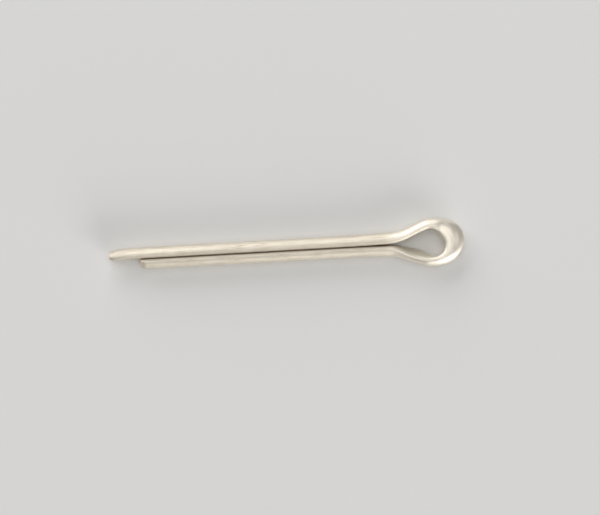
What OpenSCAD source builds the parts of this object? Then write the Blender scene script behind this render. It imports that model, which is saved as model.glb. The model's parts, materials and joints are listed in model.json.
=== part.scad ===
// Cotter pin with an extended prong, bent from one length of half-round wire.
// Lengths are in millimetres and angles in degrees.
// +X runs along the shank towards the eye, +Z is up, and the pin lies with its eye flat.
// The origin is on the shank's axis, where the two legs start to spread into the eye.

/* [Shank] */
// Diameter over the two closed legs
shank_d = 2.14; // [1.9:0.02:2.4]
// Gap left between the flats of the legs
leg_gap = 0.1; // [0.08:0.02:0.3]
// Rounding along the two edges of the wire's flat
edge_r = 0.24; // [0.08:0.02:0.3]
// Length of the short leg
short_leg = 24.9; // [12:0.1:60]
// Length by which the long leg runs past the short one
prong_l = 3.3; // [1:0.1:8]

/* [Tips] */
// Length of the taper on the round side of each tip
taper_l = 1.4; // [0.6:0.1:2.4]
// Depth of that taper at the end
taper_d = 0.42; // [0.1:0.02:0.44]
// Slant of the sheared end faces
shear_angle = 9; // [0:1:20]

/* [Eye] */
// Diameter of the eye's opening
eye_hole_d = 2.76; // [2.2:0.02:3.6]
// Angle at which each branch leaves the shank
branch_angle = 23; // [18:1:34]
// Radius on the hollow side of the bend from leg to branch
bend_r = 3.6; // [2:0.1:6]
// Thickness of the far end, where the wire was pressed wide
crown_t = 1.95; // [1.4:0.05:2.2]
// Slope of the two flats that the press left on the far end
press_angle = 5; // [3:0.5:8]
// Distance before the opening's centre at which those flats begin
press_lead = 0.4; // [0.3:0.05:0.8]

/* [Hidden] */
$fn = 96;
wire_r = shank_d / 2;
half_gap = leg_gap / 2;
wire_t = wire_r - half_gap;
// Centre height of the section's rounded edges, and where their arcs run into the round side
edge_y = edge_height(0);
edge_end = edge_meet(0);
flat_h = sqrt(pow(wire_r, 2) - pow(half_gap, 2));
// Half the wire's height over its rounded edges
wire_top = edge_y + edge_r;
long_leg = short_leg + prong_l;
hole_r = eye_hole_d / 2;
rim_r = hole_r + wire_t;
crown_shift = crown_t - wire_t;
bend_y = wire_r + bend_r;
// Each branch lies on the line that touches both its bend and the eye's rim
eye_x = (rim_r + bend_r - bend_y * cos(branch_angle)) / sin(branch_angle);
branch_l = eye_x * cos(branch_angle) - bend_y * sin(branch_angle);
reach = 4 * rim_r;
// How much slimmer the wire is where it was drawn straight, and how far it sinks into its bends
neck = 0.02;

// Centre height of an edge's rounding in a section drawn in by inset
function edge_height(inset) =
    sqrt(pow(wire_r - inset - edge_r, 2) - pow(half_gap + inset + edge_r, 2));

// Point where that rounding runs into the round side
function edge_meet(inset) =
    [half_gap + inset + edge_r, edge_height(inset)] * (wire_r - inset) / (wire_r - inset - edge_r)
    - [half_gap, 0];

// Wire section with its flat on the Y axis and its round side towards +X, the edges sharp
module sharp_section() {
    intersection() {
        translate([-half_gap, 0]) circle(r = wire_r);
        translate([0, -wire_r]) square([wire_r, 2 * wire_r]);
    }
}

// Wire section with its two edges rounded, drawn in by inset on every side
module wire_section(inset = 0) {
    meet = edge_meet(inset);
    height = edge_height(inset);
    difference() {
        intersection() {
            translate([-half_gap, 0]) circle(r = wire_r - inset);
            translate([inset, -wire_r]) square([wire_r, 2 * wire_r]);
        }
        for (side = [-1, 1])
            scale([1, side])
                polygon([[0, height], [inset, height], meet, [meet[0], wire_r], [0, wire_r]]);
    }
    for (side = [-1, 1])
        translate([inset + edge_r, side * height]) circle(r = edge_r);
}

// Leg of the given length, from the origin towards -X, with a tapered and sheared tip
module leg(length) {
    difference() {
        translate([-length, half_gap, 0]) rotate([90, 0, 90]) linear_extrude(length) wire_section();
        tip_taper(length);
        tip_shear(length);
    }
}

// What the taper takes off the round side: a sleeve with a conical bore
module tip_taper(length) {
    translate([-length, 0, 0]) rotate([0, 90, 0]) difference() {
        translate([0, 0, -wire_r]) cylinder(r = reach, h = wire_r + taper_l * 2);
        translate([0, 0, -taper_l])
            cylinder(r1 = wire_r - 2 * taper_d, r2 = wire_r + taper_d, h = 3 * taper_l);
    }
}

// What the shear takes off the end, more at the top than at the bottom
module tip_shear(length) {
    translate([-length, 0, -wire_r]) rotate([0, shear_angle, 0])
        translate([-reach, -reach / 2, -reach / 2]) cube([reach, reach, 2 * reach]);
}

// Bend and slanting branch that carry the wire from the leg to the eye
module branch() {
    translate([0, bend_y, 0]) rotate_extrude(angle = branch_angle, start = -90)
        translate([bend_y - half_gap, 0]) mirror([1, 0]) wire_section();
    translate([0, bend_y, 0]) rotate([0, 0, branch_angle])
        translate([-neck, half_gap - bend_y, 0]) rotate([90, 0, 90])
            linear_extrude(branch_l + 2 * neck) wire_section(neck);
}

// Strip of the wire section between its flat and the ends of its rounded edges
module lip_strip() {
    translate([0, -wire_r]) square([edge_end[0], 2 * wire_r]);
}

// Inner lip of the eye, all the way round its opening
module lip() {
    turn = 90 + branch_angle;
    translate([eye_x, 0, 0]) rotate_extrude(angle = 2 * turn, start = -turn)
        translate([hole_r, 0]) intersection() {
            wire_section();
            lip_strip();
        }
}

// Round back of the wire between the branch and the far end
module shoulder() {
    translate([eye_x, 0, 0]) rotate_extrude(angle = branch_angle, start = 90)
        translate([hole_r, 0]) difference() {
            wire_section();
            lip_strip();
        }
}

// Half of the section through the far end before its opening is cut
module crown_section() {
    translate([0, -flat_h]) square([hole_r, 2 * flat_h]);
    translate([hole_r, 0]) sharp_section();
}

// Far end of the eye, where the wire was pressed out to about twice its thickness
module crown() {
    difference() {
        union() {
            translate([eye_x, 0, 0]) rotate([90, 0, 90]) linear_extrude(crown_shift) {
                crown_section();
                mirror([1, 0]) crown_section();
            }
            translate([eye_x + crown_shift, 0, 0]) rotate_extrude(angle = 180, start = -90)
                crown_section();
        }
        translate([eye_x, 0, -reach]) cylinder(r = hole_r + edge_end[0], h = 2 * reach);
    }
}

// Space above the flat that the press left on the far end's upper face
module press_space() {
    translate([eye_x - press_lead, 0, wire_top]) rotate([0, press_angle, 0])
        translate([-reach, -reach, 0]) cube([3 * reach, 2 * reach, reach]);
}

module cotter_pin() {
    color("silver") difference() {
        union() {
            leg(long_leg);
            mirror([0, 1, 0]) leg(short_leg);
            for (side = [0, 1])
                mirror([0, side, 0]) {
                    branch();
                    shoulder();
                }
            lip();
            crown();
        }
        press_space();
        mirror([0, 0, 1]) press_space();
    }
}

cotter_pin();
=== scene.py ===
import json
import math

import bmesh
import bpy
from mathutils import Matrix, Vector


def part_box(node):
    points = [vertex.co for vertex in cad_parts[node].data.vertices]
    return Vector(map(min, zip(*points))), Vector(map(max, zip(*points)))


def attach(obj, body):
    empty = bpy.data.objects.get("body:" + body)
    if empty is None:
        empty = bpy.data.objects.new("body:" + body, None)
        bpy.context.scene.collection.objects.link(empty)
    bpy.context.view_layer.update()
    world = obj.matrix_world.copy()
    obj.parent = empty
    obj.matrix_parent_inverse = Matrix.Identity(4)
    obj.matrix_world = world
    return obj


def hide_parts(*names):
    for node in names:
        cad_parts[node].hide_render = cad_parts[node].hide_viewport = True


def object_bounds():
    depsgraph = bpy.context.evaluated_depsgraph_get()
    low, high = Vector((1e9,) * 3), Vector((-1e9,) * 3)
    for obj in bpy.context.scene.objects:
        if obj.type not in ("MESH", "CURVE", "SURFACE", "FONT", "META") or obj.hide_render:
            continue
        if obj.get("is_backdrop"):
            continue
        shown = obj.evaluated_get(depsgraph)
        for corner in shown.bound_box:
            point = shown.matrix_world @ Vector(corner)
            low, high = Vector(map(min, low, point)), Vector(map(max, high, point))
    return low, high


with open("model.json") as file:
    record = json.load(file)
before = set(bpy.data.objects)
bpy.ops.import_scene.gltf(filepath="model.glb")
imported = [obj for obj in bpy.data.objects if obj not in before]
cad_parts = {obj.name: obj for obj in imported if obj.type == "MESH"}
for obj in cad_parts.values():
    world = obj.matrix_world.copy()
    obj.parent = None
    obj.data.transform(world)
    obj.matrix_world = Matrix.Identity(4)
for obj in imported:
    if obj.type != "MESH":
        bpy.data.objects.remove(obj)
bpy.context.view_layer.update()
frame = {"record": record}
print("frame loaded")

mm = 0.001
lowCorner, highCorner = [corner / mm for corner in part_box("cotter_pin")]
mounts = {mount["name"]: mount for mount in frame["record"]["mounts"]}
shank, eye = mounts["shank"], mounts["eye"]

# The wire is drawn straight and bent, in millimetres and degrees
wire = {
    "shankRadius": shank["dims"]["r_mm"],  # over the two closed legs
    "holeRadius": eye["dims"]["r_mm"],
    "eyeX": eye["pos_m"][0] / mm,
    "rimRadius": highCorner.y,
    "longLeg": -lowCorner.x,
    "prong": 3.05,  # how far the long leg runs past the short one
    "edgeRadius": 0.33,  # rounding along the edges of the flat
    "branchAngle": 23,  # between branch and shank
    "bendRadius": 3.6,  # on the hollow side, where a leg turns into its branch
    "twist": [(0, 0), (3.8, 0), (6.5, 25), (9.3, 0)],  # of the flat, from the eye's start on
    "tipLength": 2.34,  # stretch at each tip with closer rings
    "flatSteps": 5,
    "edgeSteps": 4,
    "roundSteps": 28,
    "legSpacing": 0.7,  # between rings
    "tipSpacing": 0.195,
    "bendSpacing": 0.14,
    "eyeStep": 1.7,  # degrees between rings
    "weld": 0.0001,  # distance at which the two ends of the outline join
}

thickness = wire["rimRadius"] - wire["holeRadius"]
halfGap = wire["shankRadius"] - thickness
bendAxisY = wire["shankRadius"] + wire["bendRadius"]
turn = math.radians(wire["branchAngle"])
branchLength = wire["eyeX"] * math.cos(turn) - bendAxisY * math.sin(turn)


def smooth(low, high, value):
    t = min(1.0, max(0.0, (value - low) / (high - low)))
    return t * t * (3 - 2 * t)


def alongPoints(points, value):
    # Eased steps between the listed values
    if value <= points[0][0]:
        return points[0][1]
    for (x0, y0), (x1, y1) in zip(points, points[1:]):
        if value <= x1:
            return y0 + (y1 - y0) * smooth(x0, x1, value)
    return points[-1][1]


class Drawbench:
    # Carries one ring of the wire's section along its path, a step at a time

    def __init__(self, bm):
        self.bm = bm
        self.drawn = bm.verts.layers.float_vector.new("drawn")
        self.sheared = bm.verts.layers.float.new("sheared")
        self.burnished = bm.verts.layers.float.new("burnished")
        self.length = 0.0
        self.twist = 0.0
        self.eyeStart = None
        self.middle = Vector((-wire["longLeg"], halfGap, 0))
        self.heading = Vector((1, 0, 0))
        self.ring = self.section()
        self.firstRing = list(self.ring)
        self.mark()

    def section(self):
        # Half-round outline across the shank, from the middle of the flat all the way round
        bm, x = self.bm, self.middle.x
        edgeY = halfGap + wire["edgeRadius"]
        edgeHeight = math.sqrt((wire["shankRadius"] - wire["edgeRadius"]) ** 2 - edgeY**2)
        roundHalf = math.atan2(edgeHeight, edgeY)
        first = bm.verts.new(self.middle)

        def alongFlat(last, height):
            for _ in range(wire["flatSteps"]):
                last = bmesh.ops.extrude_vert_indiv(bm, verts=[last])["verts"][0]
                last.co.z += height / wire["flatSteps"]
            return last

        def arc(last, centre, angle, steps):
            made = bmesh.ops.spin(
                bm, geom=[last], cent=centre, axis=(1, 0, 0), angle=angle, steps=steps, use_duplicate=False
            )
            return [v for v in made["geom_last"] if isinstance(v, bmesh.types.BMVert)][0]

        last = alongFlat(first, -edgeHeight)
        last = arc(last, (x, edgeY, -edgeHeight), math.pi - roundHalf, wire["edgeSteps"])
        last = arc(last, (x, 0, 0), 2 * roundHalf, wire["roundSteps"])
        last = arc(last, (x, edgeY, edgeHeight), math.pi - roundHalf, wire["edgeSteps"])
        last = alongFlat(last, -edgeHeight)
        bmesh.ops.remove_doubles(bm, verts=[first, last], dist=wire["weld"])
        for v in bm.verts:
            v[self.drawn] = Vector((0, v.co.y, v.co.z))
        return list(bm.edges)

    def verts(self):
        # Each one once, in the ring's own order
        return list(dict.fromkeys(v for e in self.ring for v in e.verts))

    def mark(self):
        # Each ring keeps its place on the straight wire, which the finish follows
        for v in self.verts():
            v[self.drawn].x = self.length

    def settle(self, step):
        # Turns the new ring about the wire's own line, as the flat twists along the eye
        self.length += step
        if self.eyeStart is not None:
            want = -math.radians(alongPoints(wire["twist"], self.length - self.eyeStart))
            spin = Matrix.Rotation(want - self.twist, 3, self.heading)
            bmesh.ops.rotate(self.bm, verts=self.verts(), cent=self.middle, matrix=spin)
            self.twist = want
        self.mark()

    def straight(self, length, spacing):
        steps = max(1, round(length / spacing))
        for _ in range(steps):
            made = bmesh.ops.extrude_edge_only(self.bm, edges=self.ring)["geom"]
            verts = [g for g in made if isinstance(g, bmesh.types.BMVert)]
            move = self.heading * (length / steps)
            bmesh.ops.translate(self.bm, verts=verts, vec=move)
            fresh = set(verts)
            self.ring = [
                g for g in made if isinstance(g, bmesh.types.BMEdge) and fresh.issuperset(g.verts)
            ]
            self.middle = self.middle + move
            self.settle(length / steps)

    def bend(self, centre, angle, steps):
        centre = Vector(centre)
        radius = (self.middle - centre).length
        step = angle / steps
        rotation = Matrix.Rotation(step, 3, "Z")
        for _ in range(steps):
            made = bmesh.ops.spin(
                self.bm, geom=self.verts() + self.ring, cent=centre, axis=(0, 0, 1),
                angle=step, steps=1, use_duplicate=False,
            )
            self.ring = [g for g in made["geom_last"] if isinstance(g, bmesh.types.BMEdge)]
            self.middle = centre + rotation @ (self.middle - centre)
            self.heading = rotation @ self.heading
            self.settle(abs(step) * radius)


def bendWire(bm):
    bench = Drawbench(bm)
    shortLeg = wire["longLeg"] - wire["prong"]
    bendSteps = round(turn * (bendAxisY - halfGap) / wire["bendSpacing"])
    around = math.pi + 2 * turn
    bench.straight(wire["tipLength"], wire["tipSpacing"])
    bench.straight(wire["longLeg"] - wire["tipLength"], wire["legSpacing"])
    bench.bend((0, bendAxisY, 0), turn, bendSteps)
    bench.straight(branchLength, wire["bendSpacing"])
    bench.eyeStart = bench.length
    bench.bend((wire["eyeX"], 0, 0), -around, round(math.degrees(around) / wire["eyeStep"]))
    bench.straight(branchLength, wire["bendSpacing"])
    bench.bend((0, -bendAxisY, 0), turn, bendSteps)
    bench.straight(shortLeg - wire["tipLength"], wire["legSpacing"])
    bench.straight(wire["tipLength"], wire["tipSpacing"])
    return bench


# Each tip tapers on its round side and ends in a slanted, sheared face
tips = {
    "long": {
        "length": 1.5,
        "depth": 0.27,  # share of the thickness that the taper takes at the end
        "power": 2.0,  # 1 would be a straight taper
        "height": 0.14,  # share of the height that it takes
        "shear": 6,  # degrees
        "rim": 0.17,  # rounding of the sheared face's rim
        "lift": 0.17,  # of the flat's worn corner, over the lift length
    },
    "short": {
        "length": 0.9, "depth": 0.28, "power": 2.2, "height": 0.12, "shear": 9, "rim": 0.06, "lift": 0
    },
    "liftLength": 0.6,
    "rimSegments": 3,
}


def shapeTip(v, fromTip, side, style):
    share = max(0.0, 1 - fromTip / style["length"])
    if not share:
        return
    cut = share ** style["power"]
    flat = side * halfGap
    v.co.y = flat + (v.co.y - flat) * (1 - style["depth"] * cut)
    v.co.z *= 1 - style["height"] * cut
    lift = style["lift"] * smooth(tips["liftLength"], 0, fromTip)
    v.co.y += side * lift * (1 - abs(v.co.y - flat) / thickness)
    slant = math.tan(math.radians(style["shear"]))
    v.co.x += slant * (v.co.z + wire["shankRadius"]) * smooth(0, 1, share)


# The far end of the eye, as the forming tool left it
pressed = {
    "ovalX": 0.26,  # centre of the outer oval from the hole's
    "ovalLength": 2.98,  # half of it, along X
    "ovalWidth": 2.4,  # half of it, along Y
    "fade": (82, 112),  # degrees from +X where the oval goes back to the round eye
    # Uneven places in the outline: by how much, at what angle and how wide
    "shoulder": (0.12, 28, 18),  # outside, outwards
    "worn": (0.06, -18, 18),  # outside, inwards
    "bulge": (0.32, 36, 38),  # inside, into the hole
    "hollow": (0.10, -55, 32),  # inside, away from it
    "drawnIn": 0.07,  # share of the thickness by which its middle lies nearer the hole
    "spread": (0.05, 0.85),  # part of the thickness that is pressed out most
    "thinning": 0.13,  # share of the height lost where the wire is pressed to twice its thickness
    # Faces of the tool, over the upper half of the far end
    "start": 84,  # degrees at which they set in, at the hole
    "startSlant": 10,
    "startWidth": 18,
    "end": (-48, 0),
    "crease": 0.94,  # height where they begin
    "creaseSlant": 0.69,
    "sink": 0.13,  # fall from the crease to the level patch
    "sinkSpan": (0.25, 0.95),  # along X from the hole's centre, at the hole's edge
    "step": 0.14,
    "stepSpan": (1.8, 2.45),
    "outerFall": 0.36,
    "fallFrom": 0.56,  # share of the thickness, from the hole outwards
    "fallPower": 1.5,
    "softness": 0.08,
    "bite": (0.2, 0.35),  # height above which the wire is pressed
    # Polished part of those faces, which the finish also paints paler as a painted highlight
    "burnishStart": (66, 46),
    "burnishEnd": (-10, 32),
    "burnishFall": (0.3, 0),
    "burnishDepth": 0.11,
}


def bump(angle, size, at, width):
    # Smooth rise of the given size about one angle
    return size * math.exp(-(((angle - at) / width) ** 2))


def ovalReach(angle):
    # Distance from the hole's centre to the oval outline
    c, s = math.cos(angle), math.sin(angle)
    a, b, shift = pressed["ovalLength"], pressed["ovalWidth"], pressed["ovalX"]
    qa = (c / a) ** 2 + (s / b) ** 2
    qb = -c * shift / a**2
    qc = (shift / a) ** 2 - 1
    return (-qb + math.sqrt(qb * qb - qa * qc)) / qa


def spreadEye(v):
    # Widens the far end between its uneven outlines; gives the share of the thickness and the angle
    x, y = v.co.x - wire["eyeX"], v.co.y
    radius, angle = math.hypot(x, y), math.atan2(y, x)
    degrees = math.degrees(angle)
    share = (radius - wire["holeRadius"]) / thickness
    part = 1 - smooth(*pressed["fade"], abs(degrees))
    if part > 0:
        inner = wire["holeRadius"]
        inner += part * (bump(degrees, *pressed["hollow"]) - bump(degrees, *pressed["bulge"]))
        outer = wire["rimRadius"] + part * (ovalReach(angle) - wire["rimRadius"])
        outer += bump(degrees, *pressed["shoulder"]) - bump(degrees, *pressed["worn"])
        widened = outer - inner - thickness
        drawnIn = pressed["drawnIn"] * part * math.sin(math.pi * min(1, max(0, share)))
        spread = (share + smooth(*pressed["spread"], share)) / 2
        radius = inner + (share - drawnIn) * thickness + spread * widened
        v.co.x = wire["eyeX"] + radius * math.cos(angle)
        v.co.y = radius * math.sin(angle)
        v.co.z *= 1 - pressed["thinning"] * widened / thickness
    return share, degrees


def pressEye(v, share, degrees, burnished):
    # Lowers the wire softly to the faces of the tool, the same above and below
    start = pressed["start"] - pressed["startSlant"] * share
    tool = smooth(*pressed["end"], degrees)
    tool *= 1 - smooth(start - pressed["startWidth"], start, degrees)
    height = abs(v.co.z)
    if tool == 0 or height <= pressed["bite"][0]:
        return
    east = v.co.x - wire["eyeX"]
    past = east - pressed["creaseSlant"] * (v.co.y - wire["holeRadius"])
    fall = max(0, share - pressed["fallFrom"]) / (1 - pressed["fallFrom"])
    lid = pressed["crease"] - pressed["sink"] * smooth(*pressed["sinkSpan"], past)
    lid -= pressed["step"] * smooth(*pressed["stepSpan"], east)
    lid -= pressed["outerFall"] * fall ** pressed["fallPower"]
    soft = pressed["softness"]
    sunk = soft * math.log(1 + math.exp((height - lid) / soft))
    v.co.z -= math.copysign(sunk * tool * smooth(*pressed["bite"], height), v.co.z)
    # Polish from the tool: lowers the roughness, and carries a painted highlight in the colour
    polishAndHighlight = tool * smooth(0, pressed["burnishDepth"], sunk)
    polishAndHighlight *= smooth(*pressed["burnishStart"], degrees) * smooth(*pressed["burnishEnd"], degrees)
    v[burnished] = polishAndHighlight * smooth(*pressed["burnishFall"], fall)


# How the two legs lie, as X and the distance away from the other leg
splay = {
    "upper": [(-28, 0), (-12, 0.02), (-4, 0.025), (0.1, 0.12), (2, 0)],
    "lower": [(-25, 0), (-12, 0.02), (-3, 0.025), (1.4, 0.165), (4.4, 0)],
    "opening": (-0.5, 2.4),  # where along X the flats start to follow
    "slotFill": 0.04,  # the flats lie closer than the frame's gap
    "slotFillEnd": (-4, 0.5),
    "droop": 0.1,  # bend of the free tip towards the other leg
    "droopLength": 2.6,
    "roll": 6,  # degrees by which the shank is turned over
    "rollEnd": (-0.6, 3.2),
}


def splayWire(v, side):
    distance = alongPoints(splay["upper" if side > 0 else "lower"], v.co.x)
    fill = splay["slotFill"] * (1 - smooth(*splay["slotFillEnd"], v.co.x))
    v.co.y -= side * fill * (wire["shankRadius"] - abs(v.co.y)) / thickness
    follow = smooth(*splay["opening"], v.co.x)
    follow += (1 - follow) * min(1, max(0, (abs(v.co.y) - halfGap) / thickness))
    v.co.y += side * follow * distance
    v.co.y -= splay["droop"] * (1 - smooth(0, splay["droopLength"], v.co.x + wire["longLeg"]))
    roll = math.radians(splay["roll"]) * (1 - smooth(*splay["rollEnd"], v.co.x))
    v.co = Matrix.Rotation(roll, 3, "X") @ v.co


def shapeWire(bench):
    for v in bench.bm.verts:
        along = v[bench.drawn].x
        side = 1 if along < bench.length / 2 else -1
        fromTip = along if side > 0 else bench.length - along
        shapeTip(v, fromTip, side, tips["long" if side > 0 else "short"])
        pressEye(v, *spreadEye(v), bench.burnished)
        splayWire(v, side)


def closeTips(bench):
    for ring, tip in ((bench.firstRing, "long"), (bench.ring, "short")):
        caps = bmesh.ops.contextual_create(bench.bm, geom=ring)["faces"]
        for v in caps[0].verts:
            v[bench.sheared] = 1.0
        bmesh.ops.bevel(
            bench.bm, geom=list(caps[0].edges), offset=tips[tip]["rim"],
            offset_type="OFFSET", segments=tips["rimSegments"], profile=0.5, affect="EDGES", material=-1,
        )


def makePin():
    bm = bmesh.new()
    bench = bendWire(bm)
    shapeWire(bench)
    closeTips(bench)
    bmesh.ops.recalc_face_normals(bm, faces=bm.faces)
    for f in bm.faces:
        f.smooth = True
    fit = highCorner.z / max(abs(v.co.z) for v in bm.verts)  # keeps it within the frame's height
    bmesh.ops.scale(bm, vec=(mm, mm, mm * min(1, fit)), verts=bm.verts)
    mesh = bpy.data.meshes.new("pinWire")
    bm.to_mesh(mesh)
    bm.free()
    pin = bpy.data.objects.new("pinWire", mesh)
    bpy.context.scene.collection.objects.link(pin)
    finer = pin.modifiers.new("finer", "SUBSURF")
    finer.levels = finer.render_levels = 1
    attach(pin, "root")
    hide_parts("cotter_pin")
    print("wire bent:", len(mesh.polygons), "faces")
    return pin


finish = {
    "pale": (0.76, 0.70, 0.60, 1),
    "warm": (0.69, 0.63, 0.525, 1),
    "roughness": (0.56, 0.7),
    "drawLine": (0.52, 0.47, 0.39, 1),  # fine lines from the die, and small pits
    "formed": (0.90, 0.84, 0.73, 1),  # paler where the wire was bent into the eye: a painted highlight, as the eye stands brighter than the legs
    "formedRoughness": 0.5,
    "eyeEdge": (0.62, 0.57, 0.48, 1),  # painted shade on the lower inner edge of the eye, dimming the ridge where the flat turns
    "rolled": (0.82, 0.78, 0.69, 1),  # the flat side, rolled and rougher; its paler colour is painted light on the visible flat
    "rolledRoughness": 0.7,
    "tarnish": (0.56, 0.50, 0.41, 1),  # painted shade, partly tarnish, in the slot and above it
    "dulled": (0.66, 0.61, 0.52, 1),  # painted shade over the end of the long leg, toning down its bright facet
    "polished": (0.85, 0.78, 0.67, 1),  # paler where the forming tool pressed: a painted highlight, while its low roughness is the real polish
    "polishedRoughness": 0.4,
    "sheared": (0.85, 0.73, 0.65, 1),
    "shearedRoughness": 0.7,
    "shearedMetallic": 0.6,
    # Patterns: how fine along and across the wire, and their detail
    "streaks": ((0.5, 9, 9), 3),
    "clouds": ((0.8, 1.3, 1.3), 3),
    "grain": ((9, 14, 14), 2),
    "pits": ((2.6, 4.5, 4.5), 2),
    # Value of a pattern where a finish sets in, where it is full, and how strong it gets
    "warmToPale": (0.25, 0.6),
    "smoothToRough": (0.3, 0.7),
    "inStreaks": (0.55, 0.72),
    "streakStrength": 0.5,
    "inPits": (0.7, 0.76),
    "pitStrength": 0.6,
    # The same in millimetres: from the flat, along X, across in Y, and from the long leg's end
    "onFlat": (0.2, 0),
    "nearFlat": (0.26, 0.06),
    "inSlot": (1.5, -1),
    "aboveSlot": (4.8, 2.8),
    "lowInEye": (5.6, 4),
    "upperSide": (0, 0.3),
    "lowerSide": (0, -0.3),
    "formedFrom": (-1.5, 2),
    "formedStrength": 0.8,
    "dulledTo": (2.6, 0.5),
    "reliefStrength": 0.25,
    "reliefDepth": 0.03,
}


def noise(tree, pattern, vector):
    scale, detail = pattern
    mapping = tree.nodes.new("ShaderNodeMapping")
    mapping.inputs["Scale"].default_value = scale
    tree.links.new(vector, mapping.inputs["Vector"])
    made = tree.nodes.new("ShaderNodeTexNoise")
    made.inputs["Scale"].default_value = 1.0
    made.inputs["Detail"].default_value = detail
    tree.links.new(mapping.outputs["Vector"], made.inputs["Vector"])
    return made.outputs["Fac"]


def ramp(tree, value, span, ends=(0, 1), kind="SMOOTHSTEP"):
    made = tree.nodes.new("ShaderNodeMapRange")
    made.interpolation_type = kind
    for name, number in zip(("From Min", "From Max", "To Min", "To Max"), (*span, *ends)):
        made.inputs[name].default_value = number
    tree.links.new(value, made.inputs["Value"])
    return made.outputs["Result"]


def reckon(tree, operation, a, b):
    made = tree.nodes.new("ShaderNodeMath")
    made.operation = operation
    tree.links.new(a, made.inputs[0])
    tree.links.new(b, made.inputs[1])
    return made.outputs["Value"]


def blend(tree, kind, factor, a, b):
    mix = tree.nodes.new("ShaderNodeMix")
    mix.data_type = kind
    sockets = [k for k in mix.inputs if k.enabled and k.name in "AB"]
    for socket, value in zip(sockets, (a, b)):
        if isinstance(value, bpy.types.NodeSocket):
            tree.links.new(value, socket)
        else:
            socket.default_value = value
    tree.links.new(factor, mix.inputs["Factor"])
    return [k for k in mix.outputs if k.enabled][0]


def attribute(tree, name, output):
    made = tree.nodes.new("ShaderNodeAttribute")
    made.attribute_name = name
    return made.outputs[output]


def steelMaterial():
    material = bpy.data.materials.new("drawnSteel")
    material.use_nodes = True
    tree = material.node_tree
    shader = tree.nodes["Principled BSDF"]

    # Places on the straight wire in millimetres, and on the bent pin in metres
    drawn = attribute(tree, "drawn", "Vector")
    drawnSplit = tree.nodes.new("ShaderNodeSeparateXYZ")
    tree.links.new(drawn, drawnSplit.inputs["Vector"])
    alongWire, fromShankAxis = drawnSplit.outputs["X"], drawnSplit.outputs["Y"]
    place = tree.nodes.new("ShaderNodeTexCoord")
    placeSplit = tree.nodes.new("ShaderNodeSeparateXYZ")
    tree.links.new(place.outputs["Object"], placeSplit.inputs["Vector"])
    x, y = placeSplit.outputs["X"], placeSplit.outputs["Y"]
    streaks, clouds, grain, pits = [
        noise(tree, finish[name], drawn) for name in ("streaks", "clouds", "grain", "pits")
    ]

    def inMetres(name):
        return [end * mm for end in finish[name]]

    def fromFlat(name):
        return [halfGap + end for end in finish[name]]

    sheared = attribute(tree, "sheared", "Fac")
    # The pressed faces: real polish, and a painted highlight in the colour
    burnished = attribute(tree, "burnished", "Fac")
    onFlat = ramp(tree, fromShankAxis, fromFlat("onFlat"))
    nearFlat = ramp(tree, fromShankAxis, fromFlat("nearFlat"))
    inSlot = ramp(tree, x, inMetres("inSlot"))
    aboveSlot = reckon(
        tree, "MULTIPLY", ramp(tree, x, inMetres("aboveSlot")), ramp(tree, y, inMetres("upperSide"))
    )
    lowInEye = reckon(
        tree, "MULTIPLY", ramp(tree, x, inMetres("lowInEye")), ramp(tree, y, inMetres("lowerSide"))
    )
    # The eye where the wire was bent: lower roughness from forming, and a painted highlight in the colour
    formed = ramp(tree, x, inMetres("formedFrom"), (0, finish["formedStrength"]))
    # painted shade, darker towards the long leg's end
    dulled = ramp(tree, alongWire, finish["dulledTo"])
    inStreaks = ramp(tree, streaks, finish["inStreaks"], (0, finish["streakStrength"]))
    inPits = ramp(tree, pits, finish["inPits"], (0, finish["pitStrength"]))
    toPale = ramp(tree, clouds, finish["warmToPale"], kind="LINEAR")

    colour = blend(tree, "RGBA", toPale, finish["warm"], finish["pale"])
    for mask, name in (
        # painted highlight: the eye paler than the legs
        (formed, "formed"),
        (inStreaks, "drawLine"),
        (inPits, "drawLine"),
        # painted shade along the lower inner edge of the eye
        (reckon(tree, "MULTIPLY", nearFlat, lowInEye), "eyeEdge"),
        # painted light: the flat side paler, so the flat seen in the eye looks lit
        (onFlat, "rolled"),
        # painted shade, partly tarnish, in the slot and at the upper branch's inner edge
        (reckon(tree, "MULTIPLY", nearFlat, inSlot), "tarnish"),
        (reckon(tree, "MULTIPLY", nearFlat, aboveSlot), "tarnish"),
        # painted shade at the end of the long leg
        (dulled, "dulled"),
        # painted highlight on the pressed faces
        (burnished, "polished"),
        (sheared, "sheared"),
    ):
        colour = blend(tree, "RGBA", mask, colour, finish[name])
    tree.links.new(colour, shader.inputs["Base Color"])

    roughness = ramp(tree, streaks, finish["smoothToRough"], finish["roughness"], "LINEAR")
    for mask, name in (
        (formed, "formedRoughness"),
        (onFlat, "rolledRoughness"),
        (sheared, "shearedRoughness"),
        (burnished, "polishedRoughness"),
    ):
        roughness = blend(tree, "FLOAT", mask, roughness, finish[name])
    tree.links.new(roughness, shader.inputs["Roughness"])
    metallic = blend(tree, "FLOAT", sheared, 1.0, finish["shearedMetallic"])
    tree.links.new(metallic, shader.inputs["Metallic"])

    relief = tree.nodes.new("ShaderNodeBump")
    relief.inputs["Strength"].default_value = finish["reliefStrength"]
    relief.inputs["Distance"].default_value = finish["reliefDepth"] * mm
    tree.links.new(reckon(tree, "ADD", streaks, grain), relief.inputs["Height"])
    tree.links.new(relief.outputs["Normal"], shader.inputs["Normal"])
    print("steel finish made")
    return material


pin = makePin()
pin.data.materials.append(steelMaterial())

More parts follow.
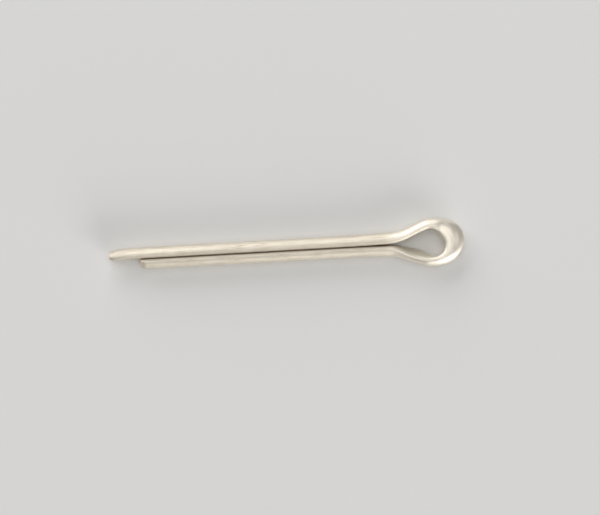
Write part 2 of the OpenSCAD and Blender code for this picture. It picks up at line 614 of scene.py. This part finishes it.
# Floor and lamps in metres, the camera in millimetres and degrees
studio = {
    "floor": (0.76, 0.755, 0.745, 1),
    "floorRoughness": 0.9,
    "floorSpecular": 0.1,
    "floorSize": 1.5,
    "worldColour": (1, 0.995, 0.985, 1),
    "worldLight": 0.17,
    "lampDistance": 0.8,
    "lamps": {
        "topBox": {"direction": (0.02, 0.07, 1.0), "size": (0.8, 0.7), "radiance": 1.45},
        "keyBox": {"direction": (-0.42, 0.84, 0.36), "size": (1.1, 0.6), "radiance": 2.8},
        "lowBox": {"direction": (0.52, -0.77, 0.22), "size": (0.74, 0.36), "radiance": 6.1},
    },
    "lensLength": 160,
    "sensorWidth": 36,
    "clip": (5, 10000),
    "frameWidth": 60,  # across the view at the pin's middle
    "aim": (-8.91, -0.81),
    "turn": -3.2,
}


def makeFloor(height):
    mesh = bpy.data.meshes.new("floor")
    bm = bmesh.new()
    bmesh.ops.create_grid(bm, x_segments=1, y_segments=1, size=studio["floorSize"])
    bmesh.ops.translate(bm, verts=bm.verts, vec=(0, 0, height))
    bm.to_mesh(mesh)
    bm.free()
    floor = bpy.data.objects.new("floor", mesh)
    bpy.context.scene.collection.objects.link(floor)
    material = bpy.data.materials.new("paperFloor")
    material.use_nodes = True
    shader = material.node_tree.nodes["Principled BSDF"]
    shader.inputs["Base Color"].default_value = studio["floor"]
    shader.inputs["Roughness"].default_value = studio["floorRoughness"]
    shader.inputs["Specular IOR Level"].default_value = studio["floorSpecular"]
    floor.data.materials.append(material)
    floor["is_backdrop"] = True


def makeWorld():
    world = bpy.data.worlds.new("studio")
    bpy.context.scene.world = world
    world.use_nodes = True
    background = world.node_tree.nodes["Background"]
    background.inputs["Color"].default_value = studio["worldColour"]
    background.inputs["Strength"].default_value = studio["worldLight"]


def makeLamp(name, direction, size, radiance):
    data = bpy.data.lights.new(name, "AREA")
    data.shape = "RECTANGLE"
    data.size, data.size_y = size
    data.energy = radiance * math.pi * size[0] * size[1]  # keeps the radiance at any size
    lamp = bpy.data.objects.new(name, data)
    lamp.location = Vector(direction).normalized() * studio["lampDistance"]
    lamp.rotation_euler = Vector(direction).to_track_quat("Z", "Y").to_euler()
    bpy.context.scene.collection.objects.link(lamp)


def makeCamera():
    data = bpy.data.cameras.new("camera")
    data.lens = studio["lensLength"]
    data.sensor_width = studio["sensorWidth"]
    data.clip_start, data.clip_end = [end * mm for end in studio["clip"]]
    camera = bpy.data.objects.new("camera", data)
    distance = studio["frameWidth"] * mm * data.lens / data.sensor_width
    camera.location = (studio["aim"][0] * mm, studio["aim"][1] * mm, distance)
    camera.rotation_euler = (0, 0, math.radians(studio["turn"]))
    bpy.context.scene.collection.objects.link(camera)
    bpy.context.scene.camera = camera


makeFloor(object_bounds()[0].z)
makeWorld()
for name, lamp in studio["lamps"].items():
    makeLamp(name, **lamp)
makeCamera()
bpy.context.scene.view_settings.view_transform = "Standard"
print("studio ready")
